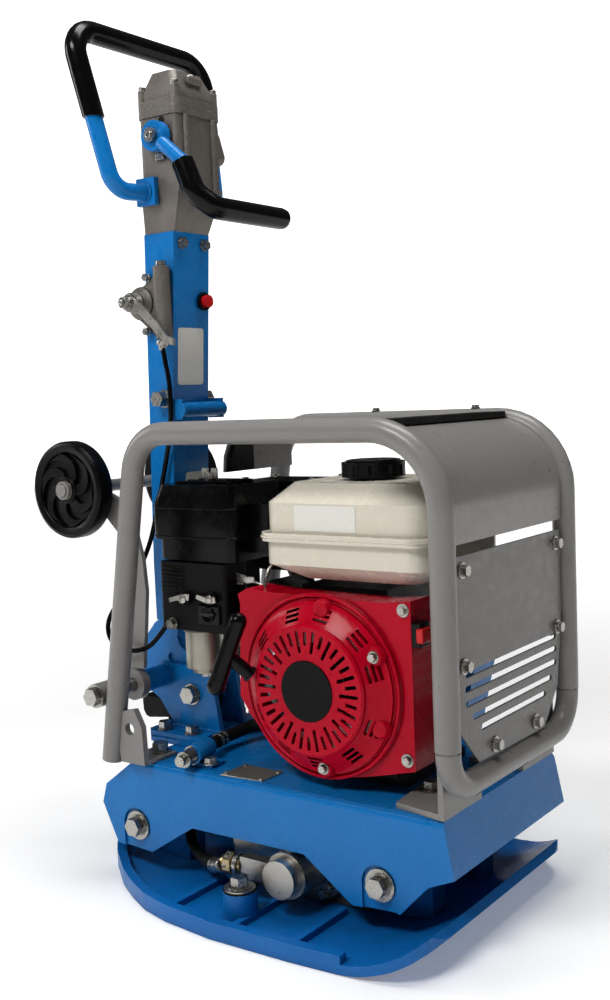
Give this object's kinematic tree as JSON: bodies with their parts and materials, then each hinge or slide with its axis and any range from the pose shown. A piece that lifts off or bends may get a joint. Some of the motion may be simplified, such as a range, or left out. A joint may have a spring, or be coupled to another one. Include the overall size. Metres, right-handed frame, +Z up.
{
  "type": "reversible plate compactor",
  "caption": "Reversible vibratory plate compactor with engine, tubular guard cage, folding control handle and swing-down transport wheels.",
  "frame": {"origin": "Centre of the flat sole of the base plate, on the ground.", "axes": "+X is the forward travel direction, +Y the left side of the machine, +Z up."},
  "size_m": [0.6025, 0.4, 0.9993],
  "materials": {
    "blue_paint": "gloss",
    "grey_paint": "satin",
    "red_paint": "gloss",
    "white_paint": "gloss",
    "black_enamel": "matte",
    "zinc_fastener": "zinc plated, satin",
    "raw_steel": "satin",
    "yellow_zinc": "yellow zinc plated",
    "cast_metal": "cast, matte",
    "dark_cast": "cast, matte",
    "black_rubber": "matte",
    "black_grip": "semi gloss",
    "black_plastic": "semi gloss",
    "red_plastic": "gloss"
  },
  "bodies": {
    "chassis": {"base_plate": "blue_paint", "lug_bolts": "zinc_fastener", "buffer_posts": "blue_paint", "rubber_buffers": "black_rubber", "buffer_bolts": "zinc_fastener", "exciter_housing": "cast_metal", "exciter_covers": "raw_steel", "exciter_bearings": "raw_steel", "exciter_bolts": "zinc_fastener", "shift_cylinder": "raw_steel", "hose_fittings": "yellow_zinc", "hydraulic_hose": "black_rubber", "deck": "blue_paint", "data_plate": "raw_steel", "drain_hose": "black_rubber", "cage_near": "grey_paint", "cage_far": "grey_paint", "cage_cross": "grey_paint", "cage_feet": "grey_paint", "top_cover": "grey_paint", "front_panel": "grey_paint", "frame_bolts": "zinc_fastener", "handle_rest": "grey_paint", "rest_pad": "black_rubber", "handle_bracket": "blue_paint", "handle_buffer": "black_rubber", "throttle_cable": "black_plastic", "engine_block": "dark_cast", "engine_cylinder": "dark_cast", "fan_shroud": "red_paint", "recoil_cover": "red_paint", "fuel_tank": "white_paint", "air_cleaner": "black_plastic", "control_box": "black_plastic", "muffler": "black_enamel", "v_belt": "black_rubber", "belt_guard": "blue_paint"},
    "handle": {"handle_column": "blue_paint", "column_bolts": "zinc_fastener", "control_head": "cast_metal", "head_cover": "cast_metal", "guide_handle": "blue_paint", "guide_grip": "black_grip", "throttle_body": "cast_metal", "button_bezel": "black_plastic"},
    "lever": {"reversing_lever": "blue_paint"},
    "rack": {"pump_rack": "raw_steel"},
    "throttle": {"throttle_lever": "raw_steel"},
    "button": {"stop_button": "red_plastic"},
    "wheel_shaft": {"wheel_pivot": "zinc_fastener"},
    "wheel_swing": {"wheel_frame": "grey_paint"},
    "wheel_l": {"wheel_left": "black_plastic"},
    "wheel_r": {"wheel_right": "black_plastic"},
    "crank": {"crankshaft": "raw_steel"},
    "starter": {"starter_pulley": "black_plastic"},
    "grip": {"pull_grip": "black_plastic"},
    "drum": {"clutch_drum": "raw_steel"},
    "ecc_front": {"eccentric_a": "raw_steel"},
    "ecc_rear": {"eccentric_b": "raw_steel"},
    "cap": {"fuel_cap": "black_plastic"}
  },
  "joints": [
    {"name": "handle_fold", "type": "hinge", "parent": "chassis", "child": "handle", "pos_m": [-0.163, 0, 0.2], "axis": [0, -1, 0], "range_deg": [0, 15], "deforming": ["hydraulic_hose", "throttle_cable"]},
    {"name": "direction_lever", "type": "hinge", "parent": "handle", "child": "lever", "pos_m": [-0.158, 0, 0.864], "axis": [0, 1, 0], "range_deg": [-25, 25]},
    {"name": "pump_rack_slide", "type": "slide", "parent": "handle", "child": "rack", "axis": [0, 0, 1], "range_m": [-0.0056, 0.0056]},
    {"name": "throttle_swing", "type": "hinge", "parent": "handle", "child": "throttle", "pos_m": [-0.205, -0.05, 0.676], "axis": [0, 1, 0], "range_deg": [-75, 0]},
    {"name": "stop_press", "type": "slide", "parent": "handle", "child": "button", "axis": [-1, 0, 0], "range_m": [0, 0.003], "stiffness_N_per_m": 300, "springref_m": -0.001},
    {"name": "wheel_pivot_turn", "type": "hinge", "parent": "chassis", "child": "wheel_shaft", "pos_m": [-0.206, 0, 0.22], "axis": [0, -1, 0], "range_deg": [0, 15]},
    {"name": "wheel_frame_swing", "type": "hinge", "parent": "wheel_shaft", "child": "wheel_swing", "pos_m": [-0.206, 0, 0.22], "axis": [0, -1, 0], "range_deg": [0, 110]},
    {"name": "wheel_left_spin", "type": "hinge", "parent": "wheel_swing", "child": "wheel_l", "pos_m": [-0.276, 0, 0.456], "axis": [0, 1, 0], "continuous": true},
    {"name": "wheel_right_spin", "type": "hinge", "parent": "wheel_swing", "child": "wheel_r", "pos_m": [-0.276, 0, 0.456], "axis": [0, 1, 0], "continuous": true},
    {"name": "crank_spin", "type": "hinge", "parent": "chassis", "child": "crank", "pos_m": [0.086, 0, 0.2555], "axis": [0, 1, 0], "continuous": true},
    {"name": "starter_spin", "type": "hinge", "parent": "chassis", "child": "starter", "pos_m": [0.086, 0, 0.2555], "axis": [0, 1, 0], "range_deg": [0, 570], "stiffness_Nm_per_rad": 0.05, "springref_deg": -229.18},
    {"name": "grip_pull", "type": "slide", "parent": "chassis", "child": "grip", "axis": [-0.4855, -0.5426, 0.6854], "range_m": [0, 0.45]},
    {"name": "drum_spin", "type": "hinge", "parent": "chassis", "child": "drum", "pos_m": [0.086, 0, 0.2555], "axis": [0, 1, 0], "continuous": true},
    {"name": "exciter_front_spin", "type": "hinge", "parent": "chassis", "child": "ecc_front", "pos_m": [0.052, 0, 0.054], "axis": [0, 1, 0], "continuous": true},
    {"name": "exciter_rear_spin", "type": "hinge", "parent": "chassis", "child": "ecc_rear", "pos_m": [-0.014, 0, 0.054], "axis": [0, 1, 0], "continuous": true},
    {"name": "fuel_cap_turn", "type": "hinge", "parent": "chassis", "child": "cap", "pos_m": [0.106, -0.018, 0.469], "axis": [0, 0, 1], "range_deg": [0, 90]}
  ],
  "couplings": [
    {"joint": "pump_rack_slide", "follows": "direction_lever", "m_per_rad": 0.012},
    {"joint": "wheel_pivot_turn", "follows": "handle_fold", "ratio": 1},
    {"joint": "grip_pull", "follows": "starter_spin", "m_per_rad": 0.045},
    {"joint": "drum_spin", "follows": "exciter_front_spin", "ratio": 0.7644},
    {"joint": "exciter_rear_spin", "follows": "exciter_front_spin", "ratio": -1}
  ]
}
